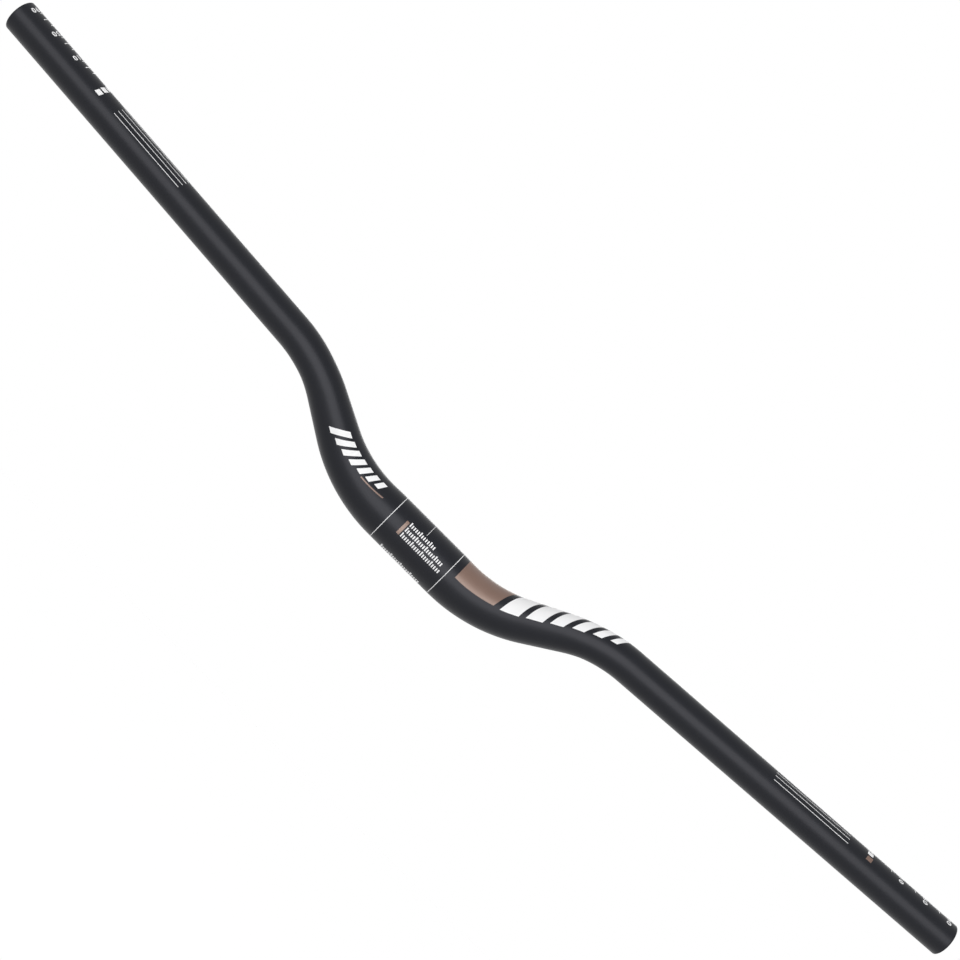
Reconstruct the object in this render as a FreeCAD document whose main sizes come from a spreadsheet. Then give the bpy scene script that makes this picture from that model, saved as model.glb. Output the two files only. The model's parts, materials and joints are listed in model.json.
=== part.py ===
import FreeCAD
import Part
import Sketcher
import os

# A bicycle handlebar with a rise, for off-road riding: one round tube of aluminium alloy, 800 mm wide.
# The middle is thick where the stem clamps it. On each side the tube is drawn down to grip size along
# two bends: the first lifts it and leans it forwards, the second lays it into the grip, which slopes
# up a little and sweeps back. The wall is butted, thick under the clamp and thin in the grips, and
# both ends are open.
#
# Millimetres and degrees. The origin is the middle of the clamp, +X runs along the clamp towards the
# rider's left hand, +Y points back to the rider and +Z points up.

NODE = "handlebar"

# Driving dimensions: name, value, what it is.
SIZES = [
    ("bar_width", 800, "over the outer edges of both ends"),
    ("clamp_diameter", 31.8, "outside of the tube where the stem holds it"),
    ("grip_diameter", 22.2, "outside of the tube where grips and levers sit"),
    ("clamp_width", 48, "straight seat of full diameter for the stem"),
    ("clamp_margin", 5.4, "straight tube between that seat and the first bend"),
    ("clamp_wall", 2.6, "wall under the stem"),
    ("grip_wall", 1.9, "wall in the grips"),
    ("rise", 35, "height of the grip's corner above the clamp's centre line"),
    ("rise_lean", 20, "how far forward that corner lies"),
    ("rise_run", 62.8, "distance between the corners of the two bends, along the clamp"),
    ("first_bend_radius", 89, "centre line of the bend beside the clamp"),
    ("second_bend_radius", 69, "centre line of the bend into the grip"),
    ("backsweep", 12, "angle of the grip backwards, seen from above"),
    ("upsweep", 5, "angle of the grip upwards, seen from the front"),
    ("taper_length", 93, "length along the tube in which it is drawn down"),
    ("taper_blend", 4, "half the length of the soft curve at each end of that taper"),
    ("grip_margin", 4, "straight tube between the last of bend and taper and the grip seat"),
    ("end_chamfer", 0.5, "chamfer of the outer and the inner edge of each end"),
]

# Where the taper's circles stand: how many steps each stretch of the tube's path is divided into.
STEPS = [("clamp", 2), ("first_bend", 5), ("climb", 4), ("second_bend", 6), ("grip", 2)]

doc = FreeCAD.newDocument("bicycle_handlebar")

sheet = doc.addObject("Spreadsheet::Sheet", "sizes")
for row, (name, value, meaning) in enumerate(SIZES, start=1):
    sheet.set(f"A{row}", name)
    sheet.set(f"B{row}", str(value))
    sheet.set(f"C{row}", meaning)
    sheet.setAlias(f"B{row}", name)
doc.recompute()


# Placements along the tube, written as expressions. A section's own z axis points along the tube.
def spin(angle):
    """Turn about the tube's own axis."""
    return f"placement(vector(0; 0; 0); rotation(vector(0; 0; 1); {angle}))"


def ahead(distance):
    """Go straight along the tube."""
    return f"placement(vector(0; 0; {distance}); rotation(vector(0; 0; 1); 0))"


def bend(radius, angle):
    """Go round a bend towards the section's x axis."""
    along = f"{radius} * sin({angle})"
    aside = f"{radius} * (1 - cos({angle}))"
    return f"placement(vector({aside}; 0; {along}); rotation(vector(0; 1; 0); {angle}))"


# The bending plan, worked out from the sizes: directions, turns, straight lengths and the frames
# at which each stretch of the tube starts.
plan = doc.addObject("App::VarSet", "plan")


def work_out(name, expression, kind="App::PropertyFloat"):
    """Add a value to the plan, bound to an expression."""
    plan.addProperty(kind, name, "path")
    plan.setExpression(name, expression)


# The grip's direction, as shares along X, Y and Z.
work_out("grip_pace", "sqrt(1 + tan(sizes.backsweep) ^ 2 + tan(sizes.upsweep) ^ 2)")
work_out("grip_out", "1 / plan.grip_pace")
work_out("grip_back", "tan(sizes.backsweep) / plan.grip_pace")
work_out("grip_up", "tan(sizes.upsweep) / plan.grip_pace")

# First bend: from the clamp's axis to the climb, in a plane that leans forwards.
work_out("climb_aside", "sqrt(sizes.rise ^ 2 + sizes.rise_lean ^ 2)")
work_out("climb_length", "sqrt(plan.climb_aside ^ 2 + sizes.rise_run ^ 2)")
work_out("first_roll", "atan2(sizes.rise; -sizes.rise_lean)")
work_out("first_turn", "atan2(plan.climb_aside; sizes.rise_run)")

# Second bend: from the climb to the grip, found from the grip's direction as the climb sees it.
work_out("lean_back", "-sizes.rise_lean / plan.climb_aside")
work_out("lean_up", "sizes.rise / plan.climb_aside")
work_out("grip_lean", "plan.grip_back * plan.lean_back + plan.grip_up * plan.lean_up")
work_out("seen_along", "cos(plan.first_turn) * plan.grip_out + sin(plan.first_turn) * plan.grip_lean")
work_out("seen_aside", "cos(plan.first_turn) * plan.grip_lean - sin(plan.first_turn) * plan.grip_out")
work_out("seen_across", "plan.grip_up * plan.lean_back - plan.grip_back * plan.lean_up")
work_out("second_roll", "atan2(plan.seen_across; plan.seen_aside)")
work_out("second_turn", "atan2(sqrt(plan.seen_aside ^ 2 + plan.seen_across ^ 2); plan.seen_along)")

# Straight lengths, after each bend has taken its share on both sides of its corner.
work_out("first_tangent", "sizes.first_bend_radius * tan(plan.first_turn / 2)")
work_out("second_tangent", "sizes.second_bend_radius * tan(plan.second_turn / 2)")
work_out("clamp_straight", "sizes.clamp_width / 2 + sizes.clamp_margin")
work_out("climb_straight", "plan.climb_length - plan.first_tangent - plan.second_tangent")
work_out("corner_x", "plan.clamp_straight + plan.first_tangent + sizes.rise_run")

# The end: its outermost corner, beside the chamfer, lies at half the bar's width.
work_out("end_tilt", "sqrt(1 - plan.grip_out ^ 2)")
work_out("end_edge", "(sizes.grip_diameter / 2 - sizes.end_chamfer) * plan.end_tilt")
work_out("end_x", "sizes.bar_width / 2 - plan.end_edge")
work_out("grip_straight", "(plan.end_x - plan.corner_x) / plan.grip_out - plan.second_tangent")

# Lengths along the tube's centre line, from the middle of the clamp.
work_out("first_arc", "sizes.first_bend_radius * plan.first_turn * pi / 180")
work_out("second_arc", "sizes.second_bend_radius * plan.second_turn * pi / 180")
work_out("climb_at", "plan.clamp_straight + plan.first_arc")
work_out("second_at", "plan.climb_at + plan.climb_straight")
work_out("grip_at", "plan.second_at + plan.second_arc")
work_out("taper_from", "sizes.clamp_width / 2 + sizes.taper_blend")
work_out("taper_to", "plan.taper_from + sizes.taper_length")
work_out("run_out", "max(0; plan.taper_to + sizes.taper_blend - plan.grip_at) + sizes.grip_margin")
work_out("seat_length", "plan.grip_straight - plan.run_out")

# Frames at the start of each stretch, in the clamp's middle plane: x backwards, y up, z along the bar.
FRAME = "App::PropertyPlacement"
to_first = f"{spin('plan.first_roll')} * {ahead('plan.clamp_straight')}"
work_out("first_frame", to_first, FRAME)
work_out("climb_frame", f"plan.first_frame * {bend('sizes.first_bend_radius', 'plan.first_turn')}", FRAME)
to_second = f"{ahead('plan.climb_straight')} * {spin('plan.second_roll')}"
work_out("second_frame", f"plan.climb_frame * {to_second}", FRAME)
work_out("grip_frame", f"plan.second_frame * {bend('sizes.second_bend_radius', 'plan.second_turn')}", FRAME)
doc.recompute()

# Each stretch of the taper: its first frame, the move along it at a share of the stretch, the roll
# that is undone so that the circles' seams stay in line, and its start and length along the tube.
first_back = "-plan.first_roll"
both_back = "-plan.second_roll - plan.first_roll"
STRETCHES = {
    "clamp": (
        ahead("sizes.clamp_width / 2"),
        lambda share: ahead(f"{share} * sizes.clamp_margin"),
        "0",
        ("sizes.clamp_width / 2", "sizes.clamp_margin"),
    ),
    "first_bend": (
        "plan.first_frame",
        lambda share: bend("sizes.first_bend_radius", f"{share} * plan.first_turn"),
        first_back,
        ("plan.clamp_straight", "plan.first_arc"),
    ),
    "climb": (
        "plan.climb_frame",
        lambda share: ahead(f"{share} * plan.climb_straight"),
        first_back,
        ("plan.climb_at", "plan.climb_straight"),
    ),
    "second_bend": (
        "plan.second_frame",
        lambda share: bend("sizes.second_bend_radius", f"{share} * plan.second_turn"),
        both_back,
        ("plan.second_at", "plan.second_arc"),
    ),
    "grip": (
        "plan.grip_frame",
        lambda share: ahead(f"{share} * plan.run_out"),
        both_back,
        ("plan.grip_at", "plan.run_out"),
    ),
}


def ramp(distance):
    """Zero before a point of the taper and rising one to one after it, with a soft corner."""
    blend = "sizes.taper_blend"
    soft = f"max(0; min({distance} + {blend}; 2 * {blend})) ^ 2 / (4 * {blend})"
    return f"({soft} + max(0; {distance} - {blend}))"


def stations():
    """Yield the place of each circle of the taper and how far the tube is drawn down there, 0 to 1."""
    first = True
    for stretch, steps in STEPS:
        frame, move, roll_back, (start, length) = STRETCHES[stretch]
        for step in range(0 if first else 1, steps + 1):
            share = f"{step} / {steps}"
            place = f"{frame} * {move(share)} * {spin(roll_back)}"
            at = f"({start} + {share} * {length})"
            fall = f"{ramp(at + ' - plan.taper_from')} - {ramp(at + ' - plan.taper_to')}"
            yield f"{stretch}_{step}", place, f"({fall}) / sizes.taper_length"
        first = False


body = doc.addObject("PartDesign::Body", NODE)
body.Label = NODE
middle_plane = next(item for item in body.Origin.OriginFeatures if item.Role == "YZ_Plane")

# A circle is drawn at this diameter, and its real one is then bound to the sizes.
DRAWN_DIAMETER = 20

OUTER_CLAMP = "sizes.clamp_diameter"
OUTER_GRIP = "sizes.grip_diameter"
INNER_CLAMP = "(sizes.clamp_diameter - 2 * sizes.clamp_wall)"
INNER_GRIP = "(sizes.grip_diameter - 2 * sizes.grip_wall)"


def circle(name, place, diameter):
    """Add a circular section across the tube."""
    sketch = body.newObject("Sketcher::SketchObject", name)
    sketch.AttachmentSupport = [(middle_plane, "")]
    sketch.MapMode = "FlatFace"
    sketch.setExpression("AttachmentOffset", place)
    start = Part.Circle(FreeCAD.Vector(), FreeCAD.Vector(0, 0, 1), DRAWN_DIAMETER / 2)
    ring = sketch.addGeometry(start, False)
    sketch.addConstraint(Sketcher.Constraint("Coincident", ring, 3, -1, 1))
    size = sketch.addConstraint(Sketcher.Constraint("Diameter", ring, DRAWN_DIAMETER))
    sketch.renameConstraint(size, "diameter")
    sketch.setExpression("Constraints.diameter", diameter)
    return sketch


def straight(kind, name, place, diameter, length, side):
    """Pad or pocket a straight, round stretch."""
    feature = body.newObject(kind, name)
    feature.Profile = circle(f"{name}_section", place, diameter)
    feature.SideType = side
    feature.setExpression("Length", length)
    return feature


def drawn(kind, name, clamp_size, grip_size):
    """Loft the bent taper through its circles, from clamp size to grip size."""
    rings = [
        circle(f"{name}_{spot}", place, f"{clamp_size} + ({grip_size} - {clamp_size}) * ({fall})")
        for spot, place, fall in stations()
    ]
    feature = body.newObject(kind, name)
    feature.Profile = rings[0]
    feature.Sections = rings[1:]
    return feature


def mirrored(name, originals):
    """Repeat features on the other side of the clamp's middle."""
    feature = body.newObject("PartDesign::Mirrored", name)
    feature.Originals = originals
    feature.MirrorPlane = (middle_plane, [""])
    body.Tip = feature
    return feature


def settle(what, smaller=False):
    """Recompute, and see that the last feature left a sound solid and changed its volume as meant."""
    before = settle.volume
    doc.recompute()
    shape = body.Shape
    if shape.isNull() or not shape.isValid():
        raise RuntimeError(f"{what} leaves no valid shape")
    change = shape.Volume - before
    if (change >= 0) if smaller else (change <= 0):
        raise RuntimeError(f"{what} changes the volume the wrong way")
    settle.volume = shape.Volume


settle.volume = 0

# Outside: the stem's seat, the bent taper and the grip's seat.
AT_MIDDLE = ahead("0")
AT_SEAT = f"plan.grip_frame * {ahead('plan.run_out')} * {spin(both_back)}"
straight("PartDesign::Pad", "clamp_seat", AT_MIDDLE, OUTER_CLAMP, "sizes.clamp_width", "Symmetric")
settle("the clamp seat")
taper = drawn("PartDesign::AdditiveLoft", "taper", OUTER_CLAMP, OUTER_GRIP)
settle("the taper")
grip = straight("PartDesign::Pad", "grip_seat", AT_SEAT, OUTER_GRIP, "plan.seat_length", "One side")
settle("the grip seat")
mirrored("other_side", [taper, grip])
settle("the other side")

# Inside: the bore follows the outside, with the wall butted from clamp to grip.
straight("PartDesign::Pocket", "clamp_bore", AT_MIDDLE, INNER_CLAMP, "sizes.clamp_width", "Symmetric")
settle("the clamp bore", smaller=True)
taper_bore = drawn("PartDesign::SubtractiveLoft", "taper_bore", INNER_CLAMP, INNER_GRIP)
settle("the taper bore", smaller=True)
grip_bore = straight("PartDesign::Pocket", "grip_bore", AT_SEAT, INNER_GRIP, "plan.seat_length", "One side")
grip_bore.Reversed = True
settle("the grip bore", smaller=True)
mirrored("other_side_bore", [taper_bore, grip_bore])
settle("the other side's bore", smaller=True)


# A circle within this distance of an end's centre, and of the radius looked for, is that end's edge.
NEAR = 0.01


def end_edges(radius):
    """Name the circular edges of a radius that lie at the bar's two ends."""
    along_grip = FreeCAD.Vector(0, 0, plan.grip_straight)
    at_end = plan.grip_frame.multVec(along_grip)
    spots = [FreeCAD.Vector(side * at_end.z, at_end.x, at_end.y) for side in (1, -1)]
    names = []
    for number, edge in enumerate(body.Shape.Edges, start=1):
        curve = edge.Curve
        if not isinstance(curve, Part.Circle) or abs(curve.Radius - radius) > NEAR:
            continue
        if min(curve.Center.distanceToPoint(spot) for spot in spots) < NEAR:
            names.append(f"Edge{number}")
    if not names:
        raise RuntimeError("an end's edges were not found")
    return names


# Both ends: the outer and the inner edges are chamfered.
outer_edges = end_edges(sheet.grip_diameter / 2)
inner_edges = end_edges(sheet.grip_diameter / 2 - sheet.grip_wall)
hollow = body.Tip
easing = body.newObject("PartDesign::Chamfer", "end_chamfering")
easing.Base = (hollow, outer_edges + inner_edges)
easing.setExpression("Size", "sizes.end_chamfer")
settle("the chamfer of the ends", smaller=True)

for item in doc.Objects:
    if "Invalid" in item.State or "Error" in item.State:
        raise RuntimeError(f"{item.Name} failed: {item.State}")
if len(body.Shape.Solids) != 1:
    raise RuntimeError("the handlebar is not one solid")

box = body.Shape.BoundBox
print("box", [round(value, 3) for value in (box.XMin, box.XMax, box.YMin, box.YMax, box.ZMin, box.ZMax)])
print("volume", round(body.Shape.Volume, 1))

os.makedirs("parts", exist_ok=True)
body.Shape.exportStep(f"parts/{NODE}.step")
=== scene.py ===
# %% [markdown]
# # A bicycle handlebar, dressed in Blender
#
# A handlebar with a rise is one bent tube. Its construction comes from a CAD program, and this lesson
# gives it its looks: a finer tube, a satin black finish, printed marks, a white studio and a camera.
# Everything is in metres, with the origin in the middle of the clamp, +X along the bar towards the
# rider's left hand, +Y back to the rider and +Z up.

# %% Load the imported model
import json
from math import acos, atan2, ceil, cos, pi, radians, sin, tan

import bmesh
import bpy
from mathutils import Matrix, Vector


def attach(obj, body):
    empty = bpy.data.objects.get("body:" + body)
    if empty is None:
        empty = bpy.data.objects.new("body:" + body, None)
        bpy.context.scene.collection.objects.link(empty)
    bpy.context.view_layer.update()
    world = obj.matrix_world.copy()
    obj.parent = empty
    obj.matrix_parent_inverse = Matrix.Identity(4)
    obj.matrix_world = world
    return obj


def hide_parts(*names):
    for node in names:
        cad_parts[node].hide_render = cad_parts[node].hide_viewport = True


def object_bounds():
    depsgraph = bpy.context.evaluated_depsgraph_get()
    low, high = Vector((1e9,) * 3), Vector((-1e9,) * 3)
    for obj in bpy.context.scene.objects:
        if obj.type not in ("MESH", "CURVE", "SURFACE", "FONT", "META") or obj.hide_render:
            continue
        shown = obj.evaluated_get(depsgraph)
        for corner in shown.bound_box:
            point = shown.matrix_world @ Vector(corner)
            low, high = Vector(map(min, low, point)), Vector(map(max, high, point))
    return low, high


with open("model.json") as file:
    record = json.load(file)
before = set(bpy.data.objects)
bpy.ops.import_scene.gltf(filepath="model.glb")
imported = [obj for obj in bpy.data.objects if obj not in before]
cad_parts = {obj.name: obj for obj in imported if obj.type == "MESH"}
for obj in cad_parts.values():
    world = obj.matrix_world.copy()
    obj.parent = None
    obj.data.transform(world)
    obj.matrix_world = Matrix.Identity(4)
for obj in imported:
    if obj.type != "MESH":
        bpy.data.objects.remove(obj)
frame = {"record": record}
cad_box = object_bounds()
mounts = {mount["name"]: mount for mount in frame["record"]["mounts"]}
print("CAD box", [[round(value, 4) for value in corner] for corner in cad_box])

# %% [markdown]
# ## Camera
#
# The camera comes first, because every later choice is judged through it. The bar is seen from the
# front, almost level, through a long lens, and it lies from corner to corner of the picture because
# the camera is rolled by 45 degrees. The roll is a turn about the camera's own axis, so it stands last
# in the chain of matrices.

# %% Camera
IMAGE_SIZE = 960
FOCAL_LENGTH_PIXELS = 2959.8
SENSOR_WIDTH_MM = 36.0
CAMERA_PLACE = Vector((0.0, -1.7546, -0.1014))
CAMERA_PITCH = radians(5.056)
CAMERA_ROLL = radians(45)

lens = bpy.data.cameras.new("camera")
lens.sensor_width = SENSOR_WIDTH_MM
lens.lens = FOCAL_LENGTH_PIXELS * SENSOR_WIDTH_MM / IMAGE_SIZE
camera = bpy.data.objects.new("camera", lens)
bpy.context.collection.objects.link(camera)
looking_ahead = Matrix.Rotation(radians(90) + CAMERA_PITCH, 4, "X")
rolled = Matrix.Rotation(CAMERA_ROLL, 4, "Z")
camera.matrix_world = Matrix.Translation(CAMERA_PLACE) @ looking_ahead @ rolled
bpy.context.scene.camera = camera
print("lens of", round(lens.lens, 1), "mm")

# %% [markdown]
# ## The line of the tube
#
# A tube bender works with straights and arcs: so far ahead, a bend of a radius, ahead again. Written as
# matrices, the whole line is a product of such moves, and the frame that it carries along never twists.
# A curve object with a bevel would also give a bent tube, but then the taper and the print would have
# no exact line to follow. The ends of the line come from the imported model.

# %% Sizes of the bar
MM = 0.001
grip_mount = mounts["left_grip_seat"]
CLAMP_RADIUS = mounts["stem_clamp"]["dims"]["r_mm"] * MM
GRIP_RADIUS = grip_mount["dims"]["r_mm"] * MM
CLAMP_WALL = 2.6 * MM
GRIP_WALL = GRIP_RADIUS - mounts["left_bar_end"]["dims"]["r_mm"] * MM
CLAMP_HALF = mounts["stem_clamp"]["dims"]["length_mm"] * MM / 2
CLAMP_MARGIN = 5.4 * MM
RISE = 35 * MM
RISE_LEAN = 20 * MM
RISE_RUN = 62.8 * MM
FIRST_BEND_RADIUS = 89 * MM
SECOND_BEND_RADIUS = 69 * MM
END_CHAMFER = 0.5 * MM

grip_direction = Vector(grip_mount["axis"]).normalized()
seat_half = grip_mount["dims"]["length_mm"] * MM / 2
bar_end = Vector(grip_mount["pos_m"]) + grip_direction * (seat_half + END_CHAMFER)
print("clamp radius", CLAMP_RADIUS, "grip radius", GRIP_RADIUS, "grip wall", round(GRIP_WALL, 5))

# %% Straights and bends


def bend_towards(direction):
    """The turn from the x axis into a direction, and the roll that the bend's plane needs for it."""
    return acos(direction.x), atan2(-direction.y, direction.z)


def onwards(length, radius=None, roll=0.0):
    """The move along a stretch of tube: straight, or round a bend towards the rolled z axis."""
    if radius is None:
        return Matrix.Translation((length, 0, 0))
    turn = length / radius
    round_arc = Matrix.Translation((radius * sin(turn), 0, radius * (1 - cos(turn))))
    in_plane = round_arc @ Matrix.Rotation(-turn, 4, "Y")
    return Matrix.Rotation(roll, 4, "X") @ in_plane @ Matrix.Rotation(-roll, 4, "X")


climb = Vector((RISE_RUN, -RISE_LEAN, RISE))
first_turn, first_roll = bend_towards(climb.normalized())
first_bend = (FIRST_BEND_RADIUS * first_turn, FIRST_BEND_RADIUS, first_roll)
grip_as_climb_sees_it = onwards(*first_bend).to_3x3().inverted() @ grip_direction
second_turn, second_roll = bend_towards(grip_as_climb_sees_it)
second_bend = (SECOND_BEND_RADIUS * second_turn, SECOND_BEND_RADIUS, second_roll)

first_tangent = FIRST_BEND_RADIUS * tan(first_turn / 2)
second_tangent = SECOND_BEND_RADIUS * tan(second_turn / 2)
clamp_straight = CLAMP_HALF + CLAMP_MARGIN
climb_straight = climb.length - first_tangent - second_tangent
second_corner = Vector((clamp_straight + first_tangent, 0, 0)) + climb
grip_straight = (bar_end - second_corner).length - second_tangent

STRETCHES = [(clamp_straight,), first_bend, (climb_straight,), second_bend, (grip_straight,)]
HALF_LENGTH = sum(stretch[0] for stretch in STRETCHES)


def tube_place(distance):
    """The frame carried along the tube to a distance from the middle: x ahead, -y front, z up."""
    place = Matrix.Identity(4)
    for length, *bend in STRETCHES:
        step = min(distance, length)
        place = place @ onwards(step, *bend)
        distance -= step
        if distance <= 0:
            break
    return place


miss = (tube_place(HALF_LENGTH).translation - bar_end).length
print("half the tube is", round(HALF_LENGTH, 4), "m long")
print("it misses the bar's end by", round(miss / MM, 4), "mm")

# %% [markdown]
# ## The tube
#
# The real bar starts as a straight tube that is drawn thinner towards its ends and then bent. Here a
# circle in the middle of the clamp is extruded ring by ring: out along the outside, in across the open
# end and back along the bore, and each ring is shrunk as the taper and the wall ask. Bridging two
# separate walls would be shorter, but the rims share a centre, and a bridge between such rims can come
# out twisted. The end's two edges are broken by a small bevel, and the half is mirrored. The last ring
# but one lies close to the end, so that the smooth shading of the bevel doesn't spread along the tube.
# The CAD solid has the same shape with fewer facets, so this mesh stands for it in the picture.

# %% How far the tube is drawn down
TAPER_LENGTH = 93 * MM
TAPER_BLEND = 4 * MM
TAPER_FROM = CLAMP_HALF + TAPER_BLEND


def soft_ramp(distance):
    """Zero before a point and rising one to one after it, with a soft corner between."""
    within = min(max(distance + TAPER_BLEND, 0), 2 * TAPER_BLEND)
    return within ** 2 / (4 * TAPER_BLEND) + max(distance - TAPER_BLEND, 0)


def drawn_down(distance):
    """How far the tube is drawn at a distance from the middle: 0 at clamp size, 1 at grip size."""
    past_start = soft_ramp(distance - TAPER_FROM)
    past_end = soft_ramp(distance - TAPER_FROM - TAPER_LENGTH)
    return (past_start - past_end) / TAPER_LENGTH


def outer_radius(distance):
    """Radius of the outside."""
    return CLAMP_RADIUS + (GRIP_RADIUS - CLAMP_RADIUS) * drawn_down(distance)


def inner_radius(distance):
    """Radius of the bore: the wall is thick under the clamp and thin in the grips."""
    return outer_radius(distance) - CLAMP_WALL - (GRIP_WALL - CLAMP_WALL) * drawn_down(distance)


half_drawn = TAPER_FROM + TAPER_LENGTH / 2
print("outside in the middle of the taper", round(outer_radius(half_drawn) / MM, 2), "mm")

# %% Rings along the tube
SIDES = 96
FINE_STEP = 2 * MM
COARSE_STEP = 12 * MM
FINE_MARGIN_AT_CLAMP = 4 * MM
FINE_MARGIN_AT_GRIP = 8 * MM
END_MARGIN = 1.5 * MM
fine_from = CLAMP_HALF - FINE_MARGIN_AT_CLAMP
fine_to = HALF_LENGTH - grip_straight + FINE_MARGIN_AT_GRIP


def evenly(start, end, step):
    """Distances from start to end, start left out, in equal steps of about the given length."""
    count = ceil((end - start) / step)
    return [start + (end - start) * number / count for number in range(1, count + 1)]


RING_DISTANCES = (
    evenly(0, fine_from, COARSE_STEP)
    + evenly(fine_from, fine_to, FINE_STEP)
    + evenly(fine_to, HALF_LENGTH - END_MARGIN, COARSE_STEP)
    + [HALF_LENGTH]
)
print(len(RING_DISTANCES), "rings on each side of the middle")

# %% Walls, open ends and the other half
END_ROUNDING_STEPS = 3
ROUND_PROFILE = 0.5
SEAM_GAP = 0.02 * MM
CUBIC_CENTIMETRE = 1e-6
outwards = [(there, outer_radius(there)) for there in RING_DISTANCES]
inwards = [(there, inner_radius(there)) for there in reversed([0.0] + RING_DISTANCES)]


def all_of(mesh):
    """All corners, edges and faces of a mesh."""
    return mesh.verts[:] + mesh.edges[:] + mesh.faces[:]


def draw_half(mesh):
    """Draw half the tube from a circle in its middle, and give back the edges of its open end."""
    across = Matrix.Rotation(radians(90), 4, "Y")
    here, radius = 0.0, CLAMP_RADIUS
    bmesh.ops.create_circle(mesh, radius=radius, segments=SIDES, matrix=across)
    ring = mesh.edges[:]
    rims = []
    for there, next_radius in outwards + inwards:
        grown = bmesh.ops.extrude_edge_only(mesh, edges=ring)["geom"]
        corners = [item for item in grown if isinstance(item, bmesh.types.BMVert)]
        fresh = set(corners)
        ring = [edge for edge in mesh.edges if edge.verts[0] in fresh and edge.verts[1] in fresh]
        shrink = Matrix.Scale(next_radius / radius, 4)
        step = tube_place(there) @ shrink @ tube_place(here).inverted()
        bmesh.ops.transform(mesh, matrix=step, verts=corners)
        here, radius = there, next_radius
        if there == HALF_LENGTH:
            rims += ring
    return rims


tube_mesh = bmesh.new()
end_edges = draw_half(tube_mesh)
bmesh.ops.bevel(
    tube_mesh, geom=end_edges, offset=END_CHAMFER, offset_type="OFFSET", affect="EDGES",
    segments=END_ROUNDING_STEPS, profile=ROUND_PROFILE, material=-1,
)
bmesh.ops.mirror(tube_mesh, geom=all_of(tube_mesh), axis="X", merge_dist=SEAM_GAP)
bmesh.ops.recalc_face_normals(tube_mesh, faces=tube_mesh.faces)
loose = [edge for edge in tube_mesh.edges if not edge.is_manifold]
metal = tube_mesh.calc_volume(signed=True) / CUBIC_CENTIMETRE
print("tube of", len(tube_mesh.faces), "faces with", len(loose), "open edges")
print("it holds", round(metal, 1), "cubic centimetres of metal")

# %% [markdown]
# ## Finishes
#
# The bar is sprayed satin black and printed in white and in a bronze ink. All three are thin coats on
# the same metal, so they share one effect: a fine grain that varies colour, roughness and height. It is
# a node group with its own values in each material, and it reads Object coordinates, because the pieces
# share one origin and the grain then runs through without a seam. The bronze ink holds fine metal
# flakes in a glossy binder, so a part of it is metal to the shader, and its highlight is strong and pale.

# %% The grain of a sprayed or printed coat
GRAIN_SIZE = 0.5 * MM
GRAIN_DETAIL = 3
CLOUD_SIZE = 30 * MM
CLOUD_DETAIL = 2
CLOUD_SHARE = 0.5


def add_noise(tree, place, size, detail):
    """Add a noise whose bumps are about a given size across."""
    noise = tree.nodes.new("ShaderNodeTexNoise")
    noise.inputs["Scale"].default_value = 1 / size
    noise.inputs["Detail"].default_value = detail
    tree.links.new(place, noise.inputs["Vector"])
    return noise.outputs["Fac"]


def make_coat_grain():
    """Build the shared node group: a fine grain and faint clouds in a thin coat."""
    tree = bpy.data.node_groups.new("coat_grain", "ShaderNodeTree")
    socket = tree.interface.new_socket
    socket("Place", in_out="INPUT", socket_type="NodeSocketVector")
    socket("Dark", in_out="INPUT", socket_type="NodeSocketColor")
    socket("Light", in_out="INPUT", socket_type="NodeSocketColor")
    socket("Smooth", in_out="INPUT", socket_type="NodeSocketFloat")
    socket("Rough", in_out="INPUT", socket_type="NodeSocketFloat")
    socket("Colour", in_out="OUTPUT", socket_type="NodeSocketColor")
    socket("Roughness", in_out="OUTPUT", socket_type="NodeSocketFloat")
    socket("Height", in_out="OUTPUT", socket_type="NodeSocketFloat")
    given = tree.nodes.new("NodeGroupInput").outputs
    result = tree.nodes.new("NodeGroupOutput").inputs

    grain = add_noise(tree, given["Place"], GRAIN_SIZE, GRAIN_DETAIL)
    clouds = add_noise(tree, given["Place"], CLOUD_SIZE, CLOUD_DETAIL)
    both = tree.nodes.new("ShaderNodeMix")
    both.inputs["Factor"].default_value = CLOUD_SHARE
    tree.links.new(grain, both.inputs["A"])
    tree.links.new(clouds, both.inputs["B"])

    colour = tree.nodes.new("ShaderNodeMix")
    colour.data_type = "RGBA"
    tree.links.new(both.outputs["Result"], colour.inputs["Factor"])
    tree.links.new(given["Dark"], colour.inputs["A"])
    tree.links.new(given["Light"], colour.inputs["B"])
    tree.links.new(colour.outputs["Result"], result["Colour"])

    gloss = tree.nodes.new("ShaderNodeMapRange")
    tree.links.new(both.outputs["Result"], gloss.inputs["Value"])
    tree.links.new(given["Smooth"], gloss.inputs["To Min"])
    tree.links.new(given["Rough"], gloss.inputs["To Max"])
    tree.links.new(gloss.outputs["Result"], result["Roughness"])
    tree.links.new(grain, result["Height"])
    return tree


coat_grain = make_coat_grain()
print("group", coat_grain.name, "with", len(coat_grain.nodes), "nodes")

# %% Black finish, white ink and bronze ink
GRAIN_DEPTH = 0.004 * MM


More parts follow.
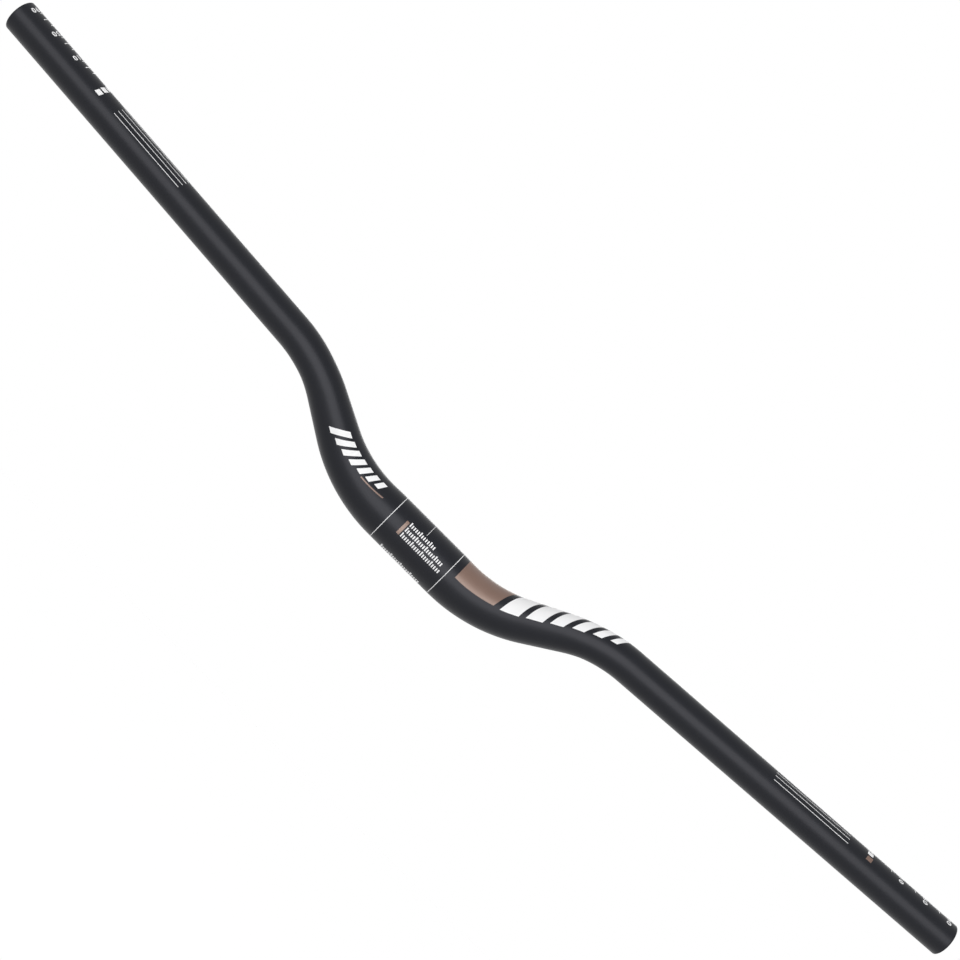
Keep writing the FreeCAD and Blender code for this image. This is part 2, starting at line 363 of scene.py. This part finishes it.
def make_coat(name, dark, light, smooth, rough, metallic, specular, sheen=(1, 1, 1)):
    """Build a material for a thin coat: the shared grain on a Principled shader."""
    material = bpy.data.materials.new(name)
    material.use_nodes = True
    tree = material.node_tree
    shader = tree.nodes["Principled BSDF"]
    shader.inputs["Metallic"].default_value = metallic
    shader.inputs["Specular IOR Level"].default_value = specular
    shader.inputs["Specular Tint"].default_value = (*sheen, 1)
    place = tree.nodes.new("ShaderNodeTexCoord").outputs["Object"]
    grain = tree.nodes.new("ShaderNodeGroup")
    grain.node_tree = coat_grain
    grain.inputs["Dark"].default_value = (*dark, 1)
    grain.inputs["Light"].default_value = (*light, 1)
    grain.inputs["Smooth"].default_value = smooth
    grain.inputs["Rough"].default_value = rough
    bump = tree.nodes.new("ShaderNodeBump")
    bump.inputs["Distance"].default_value = GRAIN_DEPTH
    tree.links.new(place, grain.inputs["Place"])
    tree.links.new(grain.outputs["Colour"], shader.inputs["Base Color"])
    tree.links.new(grain.outputs["Roughness"], shader.inputs["Roughness"])
    tree.links.new(grain.outputs["Height"], bump.inputs["Height"])
    tree.links.new(bump.outputs["Normal"], shader.inputs["Normal"])
    return material


black_finish = make_coat(
    "black_finish", dark=(0.0042, 0.0050, 0.0070), light=(0.0062, 0.0072, 0.0098),
    smooth=0.32, rough=0.40, metallic=0.0, specular=0.21, sheen=(0.95, 0.94, 1.0),
)
white_ink = make_coat(
    "white_ink", dark=(0.72, 0.72, 0.73), light=(0.79, 0.79, 0.79),
    smooth=0.45, rough=0.55, metallic=0.0, specular=0.3,
)
bronze_ink = make_coat(
    "bronze_ink", dark=(0.114, 0.063, 0.046), light=(0.144, 0.080, 0.059),
    smooth=0.36, rough=0.46, metallic=0.2, specular=0.95, sheen=(1.0, 1.0, 0.95),
)
print("materials", [material.name for material in (black_finish, white_ink, bronze_ink)])

# %% [markdown]
# ## From a mesh to a piece
#
# Every piece ends in the same way: the mesh becomes an object at the origin, its faces are shaded
# smooth with sharp edges kept sharp, it gets its finish, and it rides on the bar's one body. The tube
# then takes the place of the CAD node, which is hidden.

# %% The finished tube
BODY = "root"
SHARP_ANGLE = radians(30)


def make_piece(mesh, name, material):
    """Turn a mesh into an object of the bar."""
    data = bpy.data.meshes.new(name)
    mesh.to_mesh(data)
    mesh.free()
    data.shade_smooth()
    data.set_sharp_from_angle(angle=SHARP_ANGLE)
    data.materials.append(material)
    piece = bpy.data.objects.new(name, data)
    bpy.context.collection.objects.link(piece)
    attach(piece, BODY)
    print("piece", name, "with", len(data.polygons), "faces")
    return piece


bar_tube = make_piece(tube_mesh, "bar_tube", black_finish)
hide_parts("handlebar")

# %% [markdown]
# ## Print on a tube
#
# Print is a film of ink a few hundredths of a millimetre thick. A texture could hold it, but a film of
# its own stays crisp at any distance. Each mark is drawn flat, with x along the tube, in metres, and y
# around it, in radians from the front upwards. It gets the thickness of ink while it is flat, and then
# every corner is moved to its place on the tube. The film starts a little under the finish, so that no
# gap shows at its edge.

# %% Flat drawings and how they are wrapped
INK_PROUD = 0.03 * MM
INK_SUNK = 0.03 * MM
PRINT_STEP = 2 * MM
PRINT_ANGLE_STEP = radians(3.5)
HALF_UNIT = 0.5


def panel(drawing, start, end, low, high, slant=0.0, rising=0.0):
    """Draw a plain panel from start to end along the tube and from low to high around it.

    It may lean along the tube as it goes around, or rise around the tube as it goes along.
    """
    columns = ceil((end - start) / PRINT_STEP)
    rows = ceil((high - low) / PRINT_ANGLE_STEP)
    corner = Matrix.Translation((start, low, 0))
    lean = Matrix.Shear("XZ", 4, (slant, 0)) @ Matrix.Shear("YZ", 4, (rising, 0))
    size = Matrix.Diagonal((end - start, high - low, 1, 1))
    from_corner = Matrix.Translation((HALF_UNIT, HALF_UNIT, 0))
    bmesh.ops.create_grid(
        drawing, x_segments=columns, y_segments=rows, size=HALF_UNIT,
        matrix=corner @ lean @ size @ from_corner,
    )


def on_tube(flat):
    """The place on the tube of a point of a flat drawing, with z as its height over the finish."""
    distance = abs(flat.x)
    radius = outer_radius(distance) + flat.z
    spot = tube_place(distance) @ Vector((0, -radius * cos(flat.y), radius * sin(flat.y)))
    spot.x = spot.x if flat.x >= 0 else -spot.x
    return spot


def wrap(drawing):
    """Give a flat drawing the thickness of ink and wrap it on to the tube."""
    bmesh.ops.translate(drawing, verts=drawing.verts, vec=(0, 0, -INK_SUNK))
    top = bmesh.ops.extrude_face_region(drawing, geom=drawing.faces[:])["geom"]
    raised = [item for item in top if isinstance(item, bmesh.types.BMVert)]
    bmesh.ops.translate(drawing, verts=raised, vec=(0, 0, INK_SUNK + INK_PROUD))
    bmesh.ops.recalc_face_normals(drawing, faces=drawing.faces)
    for corner in drawing.verts:
        corner.co = on_tube(corner.co)


def make_print(drawing, name, ink):
    """Wrap a flat drawing and make it a piece of the bar."""
    wrap(drawing)
    make_piece(drawing, name, ink)


print("ink stands", INK_PROUD / MM, "mm proud")

# %% [markdown]
# ## Marks on the clamp
#
# Two thin rings show where the stem sits, and a fine line on top marks the middle. Rings go all the
# way round, so each is a small rectangle that is spun about the bar's axis. Between them are a bronze
# bar and three rows of fine graduations, by which the bar is set level in the stem, and one more row
# runs along the underside. As on many bars, the print sits a millimetre beside the true middle.

# %% Rings
PRINT_MIDDLE = 1.1 * MM
RING_SPACING = 47.5 * MM
RING_WIDTH = 0.39 * MM
RING_STEPS = 2 * SIDES


def spin_ring(mesh, place):
    """Spin a ring of ink about the clamp's axis."""
    depth = INK_PROUD + INK_SUNK
    middle = Matrix.Translation((place, -CLAMP_RADIUS + INK_SUNK - depth / 2, 0))
    size = Matrix.Diagonal((RING_WIDTH, depth, 1, 1))
    made = bmesh.ops.create_grid(
        mesh, x_segments=1, y_segments=1, size=HALF_UNIT, matrix=middle @ size,
    )
    corners = made["verts"]
    faces = list({face for corner in corners for face in corner.link_faces})
    edges = faces[0].edges[:]
    bmesh.ops.delete(mesh, geom=faces, context="FACES_ONLY")
    bmesh.ops.spin(
        mesh, geom=corners + edges, cent=(0, 0, 0), axis=(1, 0, 0), angle=2 * pi,
        steps=RING_STEPS, use_merge=True,
    )


rings = bmesh.new()
for side in (-1, 1):
    spin_ring(rings, PRINT_MIDDLE + side * RING_SPACING / 2)
bmesh.ops.recalc_face_normals(rings, faces=rings.faces)
make_piece(rings, "clamp_rings", white_ink)

# %% Middle line, graduations and bronze bar
MIDDLE_WIDTH = 0.24 * MM
MIDDLE_LOW = radians(26)
OVER_THE_TOP = radians(100)
GRADUATION_WIDTH = 0.8 * MM
GRADUATION_PITCH = 1.6 * MM
TALL_EVERY = 5
ROW_FROM = -9.8 * MM
ROWS = ((9.6 * MM, radians(13)), (18.2 * MM, radians(-1.5)), (21 * MM, radians(-16)))
ROW_SHORT = radians(8)
ROW_TALL = radians(11)
UNDER_FROM = -14 * MM
UNDER_TO = 16 * MM
UNDER_BASE = radians(-93)
UNDER_SHORT = radians(22)
UNDER_TALL = radians(26)
UNDER_WIDTH = 1.1 * MM


def line_around(drawing, place, low, high, width):
    """Draw a thin line around the tube at a place along it."""
    panel(drawing, place - width / 2, place + width / 2, low, high)


def graduations(drawing, start, end, base, short, tall, width):
    """Draw a row of short lines around the tube on one base line, with taller ones among them."""
    for number in range(round((end - start) / GRADUATION_PITCH) + 1):
        height = tall if number % TALL_EVERY == 0 else short
        place = start + number * GRADUATION_PITCH
        line_around(drawing, place, base, base + height, width)


clamp_marks = bmesh.new()
line_around(clamp_marks, PRINT_MIDDLE, MIDDLE_LOW, OVER_THE_TOP, MIDDLE_WIDTH)
for row_to, row_base in ROWS:
    graduations(clamp_marks, ROW_FROM, row_to, row_base, ROW_SHORT, ROW_TALL, GRADUATION_WIDTH)
graduations(clamp_marks, UNDER_FROM, UNDER_TO, UNDER_BASE, UNDER_SHORT, UNDER_TALL, UNDER_WIDTH)
make_print(clamp_marks, "clamp_graduations", white_ink)

CLAMP_BAR_FROM = -13.3 * MM
CLAMP_BAR_TO = -11.2 * MM
CLAMP_BAR_LOW = radians(-16)
CLAMP_BAR_HIGH = radians(19.5)

clamp_bar = bmesh.new()
panel(clamp_bar, CLAMP_BAR_FROM, CLAMP_BAR_TO, CLAMP_BAR_LOW, CLAMP_BAR_HIGH)
make_print(clamp_bar, "clamp_bronze_bar", bronze_ink)

# %% [markdown]
# ## Marks on the bends
#
# One side carries a bronze field and a row of slanted white stripes that thin out towards the grip. The
# other carries a lighter row of stripes over a bronze pinstripe. They are plain decoration, drawn as
# panels that lean along the tube. The field has one straight and one slanted side, so it is drawn too
# long and then cut with a slanted plane.

# %% Bronze field on the left-hand side
SLANT = 7.8 * MM
FIELD_FROM = 30.2 * MM
FIELD_TO = 61.3 * MM
FIELD_DRAWN_TO = 91.95 * MM
FIELD_LOW = radians(4.4)

bronze_field = bmesh.new()
panel(bronze_field, FIELD_FROM, FIELD_DRAWN_TO, FIELD_LOW, OVER_THE_TOP)
bmesh.ops.bisect_plane(
    bronze_field, geom=all_of(bronze_field), plane_co=(FIELD_TO, FIELD_LOW, 0),
    plane_no=(1, -SLANT, 0), clear_outer=True,
)
make_print(bronze_field, "bend_bronze_field", bronze_ink)

# %% Stripes on the left-hand side
STRIPES = 6
STRIPE_FROM = 66 * MM
STRIPE_WIDTH = 13 * MM
STRIPE_THINNING = 0.79
STRIPE_GAP = 4.4 * MM
STRIPE_LOW = radians(2)
STRIPE_LIFT = radians(26)
STRIPE_LIFT_POWER = 1.6

stripes = bmesh.new()
stripe_at = STRIPE_FROM
for number in range(STRIPES):
    width = STRIPE_WIDTH * STRIPE_THINNING ** number
    low = STRIPE_LOW + STRIPE_LIFT * (number / (STRIPES - 1)) ** STRIPE_LIFT_POWER
    panel(stripes, stripe_at, stripe_at + width, low, OVER_THE_TOP, slant=SLANT)
    stripe_at += width + STRIPE_GAP
make_print(stripes, "climb_stripes", white_ink)

# %% Stripes and pinstripe on the right-hand side
SMALL_STRIPES = 7
SMALL_FROM = -90 * MM
SMALL_PITCH = 7.6 * MM
SMALL_WIDTH = 4.2 * MM
SMALL_LOW = radians(-24)
SMALL_LIFT = radians(46)
SMALL_HEIGHT = radians(52)
SMALL_LOSS = radians(28)

small_stripes = bmesh.new()
for number in range(SMALL_STRIPES):
    share = number / (SMALL_STRIPES - 1)
    start = SMALL_FROM + number * SMALL_PITCH
    low = SMALL_LOW + SMALL_LIFT * share
    high = low + SMALL_HEIGHT - SMALL_LOSS * share
    panel(small_stripes, start, start + SMALL_WIDTH, low, high, slant=SLANT)
make_print(small_stripes, "bend_stripes", white_ink)

PINSTRIPE_FROM = -53.5 * MM
PINSTRIPE_TO = -33.5 * MM
PINSTRIPE_LOW = radians(4.5)
PINSTRIPE_WIDTH = radians(3)
PINSTRIPE_CLIMB = radians(10)
pinstripe_rising = PINSTRIPE_CLIMB / (PINSTRIPE_TO - PINSTRIPE_FROM)

pinstripe = bmesh.new()
panel(
    pinstripe, PINSTRIPE_FROM, PINSTRIPE_TO, PINSTRIPE_LOW, PINSTRIPE_LOW + PINSTRIPE_WIDTH,
    rising=pinstripe_rising,
)
make_print(pinstripe, "bend_pinstripe", bronze_ink)

# %% [markdown]
# ## Marks on the grips
#
# Long lines beside the grips help to set both brake levers to one angle, and a scale at each end shows
# where the bar may be cut shorter. Its plain numbers are the width that is left when both ends are cut,
# in millimetres, with a tick every 5 mm between them. Text becomes a mesh first. Its faces are large and
# flat, so it is cut into narrow strips before it is wrapped. The print sits a little higher on the
# left-hand side.

# %% Lever lines
SIDE_ROLL = radians(4.4)
LEVER_LINES = 6
LEVER_FROM = 260 * MM
LEVER_TO = 322 * MM
LEVER_LOW = radians(18)
LEVER_PITCH = radians(16.4)
LEVER_LINE_WIDTH = radians(1.75)

lever_lines = bmesh.new()
for side in (1, -1):
    near, far = sorted((side * LEVER_FROM, side * LEVER_TO))
    for number in range(LEVER_LINES):
        low = LEVER_LOW + side * SIDE_ROLL + number * LEVER_PITCH
        panel(lever_lines, near, far, low, low + LEVER_LINE_WIDTH)
make_print(lever_lines, "lever_lines", white_ink)

# %% Small bars beside the grips
BARS = 3
BAR_NEAR = 336.8 * MM
BAR_FAR = 341.2 * MM
BAR_LOW = radians(19)
BAR_HEIGHT = radians(17)
BAR_PITCH = radians(23)
BAR_SLANT = 2 * MM

white_bars = bmesh.new()
bronze_bars = bmesh.new()
for side in (1, -1):
    near, far = sorted((side * BAR_NEAR, side * BAR_FAR))
    for number in range(BARS):
        low = BAR_LOW + side * SIDE_ROLL + number * BAR_PITCH
        drawing = bronze_bars if side == 1 and number == 0 else white_bars
        panel(drawing, near, far, low, low + BAR_HEIGHT, slant=BAR_SLANT)
make_print(white_bars, "grip_bars", white_ink)
make_print(bronze_bars, "grip_bronze_bar", bronze_ink)

# %% Numbers of the cutting scale
HALF_WIDTH = cad_box[1][0]
FIRST_CUT = 5 * MM
CUT_PITCH = 20 * MM
CUTS = 3
SCALE_SHIFT = -0.4 * MM
NUMBER_HEIGHT = 3.8 * MM
FONT_SIZE_PER_HEIGHT = 1.4
NUMBER_RESOLUTION = 3
NUMBER_BOLD = 0.12 * MM
NUMBER_SPACING = 1.25
NUMBER_INSET = 1.8 * MM
NUMBER_LOW = radians(38)


def along_grip(inset):
    """The distance along the tube of a place that lies so far in from the bar's end, straight across."""
    return HALF_LENGTH - inset / grip_direction.x


def flat_number(drawing, text, place, low):
    """Draw a number whose last digit is the lowest, with its top towards +x."""
    curve = bpy.data.curves.new("number", "FONT")
    curve.body = text
    curve.size = FONT_SIZE_PER_HEIGHT * NUMBER_HEIGHT
    curve.offset = NUMBER_BOLD
    curve.space_character = NUMBER_SPACING
    curve.align_x = "RIGHT"
    curve.resolution_u = NUMBER_RESOLUTION
    writing = bpy.data.objects.new("number", curve)
    bpy.context.collection.objects.link(writing)
    shape = bpy.data.meshes.new_from_object(writing)
    bpy.data.objects.remove(writing)
    before = len(drawing.verts)
    drawing.from_mesh(shape)
    bpy.data.meshes.remove(shape)
    drawing.verts.ensure_lookup_table()
    corner = Matrix.Translation((place - NUMBER_HEIGHT / 2, low, 0))
    into_angles = Matrix.Diagonal((1, 1 / GRIP_RADIUS, 1, 1))
    turned = Matrix.Rotation(radians(-90), 4, "Z")
    bmesh.ops.transform(drawing, matrix=corner @ into_angles @ turned, verts=drawing.verts[before:])


cut_scale = bmesh.new()
for side in (1, -1):
    for number in range(CUTS):
        cut = FIRST_CUT + number * CUT_PITCH
        place = SCALE_SHIFT + side * along_grip(cut + NUMBER_INSET)
        width_left = round(2 * (HALF_WIDTH - cut) / MM)
        flat_number(cut_scale, str(width_left), place, NUMBER_LOW + side * SIDE_ROLL)
for strip in range(round(pi / PRINT_ANGLE_STEP)):
    strip_edge = (0, strip * PRINT_ANGLE_STEP, 0)
    bmesh.ops.bisect_plane(
        cut_scale, geom=all_of(cut_scale), plane_co=strip_edge, plane_no=(0, 1, 0),
    )
make_print(cut_scale, "cut_numbers", white_ink)

# %% Ticks of the cutting scale
TICK_PITCH = 5 * MM
TICK_WIDTH = 0.65 * MM
TICK_LOW = radians(63)
LONG_TICK_LOW = radians(53)
ticks_between = round(CUT_PITCH / TICK_PITCH)

cut_ticks = bmesh.new()
for side in (1, -1):
    for number in range(CUTS * ticks_between):
        if number % ticks_between == 0:
            continue
        is_long = 2 * (number % ticks_between) == ticks_between
        low = (LONG_TICK_LOW if is_long else TICK_LOW) + side * SIDE_ROLL
        place = SCALE_SHIFT + side * along_grip(FIRST_CUT + number * TICK_PITCH)
        line_around(cut_ticks, place, low, OVER_THE_TOP, TICK_WIDTH)
make_print(cut_ticks, "cut_ticks", white_ink)

# %% [markdown]
# ## Floor, backdrop and light
#
# The bar hangs in a white studio. The floor is pale and keeps the bar's soft shadow. To the camera, and
# in reflections, floor and world are white, which is done with Light Path and not with more lamps. A
# large softbox near the camera draws the highlight along the tube, and a broad light from above lights
# the rest evenly. On a satin black tube the highlight has to be strong, and so much light would burn
# out the white ink. So a second softbox just before the first is seen only in reflections, and so is the
# one behind the bar, which draws a highlight along its back.

# %% White world
AMBIENT = 0.22
SEEN_LEVEL = 1.0


def add_seen_mask(tree):
    """1 for rays that show the surface to the camera, in a reflection or through glass, else 0."""
    path = tree.nodes.new("ShaderNodeLightPath")
    mask = path.outputs["Is Camera Ray"]
    for kind in ("Is Glossy Ray", "Is Transmission Ray"):
        either = tree.nodes.new("ShaderNodeMath")
        either.operation = "MAXIMUM"
        tree.links.new(mask, either.inputs[0])
        tree.links.new(path.outputs[kind], either.inputs[1])
        mask = either.outputs[0]
    return mask


world = bpy.data.worlds.new("studio")
world.use_nodes = True
bpy.context.scene.world = world
sky = world.node_tree.nodes["Background"]
sky.inputs["Color"].default_value = (1, 1, 1, 1)
level = world.node_tree.nodes.new("ShaderNodeMapRange")
level.inputs["To Min"].default_value = AMBIENT
level.inputs["To Max"].default_value = SEEN_LEVEL
world.node_tree.links.new(add_seen_mask(world.node_tree), level.inputs["Value"])
world.node_tree.links.new(level.outputs["Result"], sky.inputs["Strength"])
print("world lights the scene with", AMBIENT)

# %% Floor
FLOOR_HEIGHT = -0.85
FLOOR_SIZE = 60.0
FLOOR_SHADE = 0.65
SKYLIGHT_LEVEL = 1.35
SKYLIGHT_SPREAD = radians(10)
SKYLIGHT_PLACE = Vector((0.3, -0.6, 2.0))
skylight_on_floor = SKYLIGHT_LEVEL * SKYLIGHT_PLACE.normalized().z / pi
floor_lit = FLOOR_SHADE * (AMBIENT + skylight_on_floor)

floor_material = bpy.data.materials.new("studio_floor")
floor_material.use_nodes = True
floor_tree = floor_material.node_tree
floor_tree.nodes.clear()
matt = floor_tree.nodes.new("ShaderNodeBsdfDiffuse")
matt.inputs["Color"].default_value = (FLOOR_SHADE, FLOOR_SHADE, FLOOR_SHADE, 1)
glow = floor_tree.nodes.new("ShaderNodeEmission")
lift = floor_tree.nodes.new("ShaderNodeMath")
lift.operation = "MULTIPLY"
lift.inputs[1].default_value = SEEN_LEVEL - floor_lit
floor_tree.links.new(add_seen_mask(floor_tree), lift.inputs[0])
floor_tree.links.new(lift.outputs[0], glow.inputs["Strength"])
both = floor_tree.nodes.new("ShaderNodeAddShader")
floor_tree.links.new(matt.outputs[0], both.inputs[0])
floor_tree.links.new(glow.outputs[0], both.inputs[1])
output = floor_tree.nodes.new("ShaderNodeOutputMaterial")
floor_tree.links.new(both.outputs[0], output.inputs["Surface"])

floor_mesh = bmesh.new()
lowered = Matrix.Translation((0, 0, FLOOR_HEIGHT))
bmesh.ops.create_grid(floor_mesh, x_segments=1, y_segments=1, size=FLOOR_SIZE / 2, matrix=lowered)
floor_data = bpy.data.meshes.new("floor")
floor_mesh.to_mesh(floor_data)
floor_mesh.free()
floor_data.materials.append(floor_material)
floor = bpy.data.objects.new("floor", floor_data)
bpy.context.collection.objects.link(floor)
print("floor at", FLOOR_HEIGHT, "m, lit to", round(floor_lit, 3))

# %% Lamps
SOFTBOX_PLACE = Vector((0.0, -1.9, 0.12))
SOFTBOX_WIDTH = 4.6
SOFTBOX_HEIGHT = 1.7
SOFTBOX_LEVEL = 1.95
SOFTBOX_TARGET = Vector((0.0, 0.0, 0.02))
GLEAM_PLACE = Vector((0.0, -1.88, 0.12))
GLEAM_LEVEL = 1.55
REAR_PLACE = Vector((0.0, 2.4, 0.6))
REAR_WIDTH = 6.0
REAR_HEIGHT = 1.2
REAR_LEVEL = 2.6


def hang_lamp(name, kind, place, target):
    """Hang a lamp at a place, pointing at a target, out of the camera's sight."""
    data = bpy.data.lights.new(name, kind)
    lamp = bpy.data.objects.new(name, data)
    bpy.context.collection.objects.link(lamp)
    lamp.location = place
    lamp.rotation_mode = "QUATERNION"
    lamp.rotation_quaternion = (target - place).to_track_quat("-Z", "Y")
    lamp.visible_camera = False
    return lamp


def hang_softbox(name, place, width, height, brightness):
    """Hang a wide softbox that faces the bar, as bright as a white surface times a number."""
    lamp = hang_lamp(name, "AREA", place, SOFTBOX_TARGET)
    lamp.data.shape = "RECTANGLE"
    lamp.data.size = width
    lamp.data.size_y = height
    lamp.data.energy = brightness * pi * width * height
    return lamp


softbox = hang_softbox("front_softbox", SOFTBOX_PLACE, SOFTBOX_WIDTH, SOFTBOX_HEIGHT, SOFTBOX_LEVEL)
gleam = hang_softbox("front_gleam", GLEAM_PLACE, SOFTBOX_WIDTH, SOFTBOX_HEIGHT, GLEAM_LEVEL)
rear = hang_softbox("rear_gleam", REAR_PLACE, REAR_WIDTH, REAR_HEIGHT, REAR_LEVEL)
for reflected_only in (gleam, rear):
    reflected_only.visible_diffuse = False

skylight = hang_lamp("overhead_light", "SUN", SKYLIGHT_PLACE, Vector((0, 0, 0)))
skylight.data.energy = SKYLIGHT_LEVEL
skylight.data.angle = SKYLIGHT_SPREAD
skylight.visible_glossy = False
print("lamps", softbox.name, gleam.name, rear.name, skylight.name)

# %% [markdown]
# ## Last settings
#
# The Standard view shows colours as they are written.

# %% View settings
bpy.context.scene.view_settings.view_transform = "Standard"
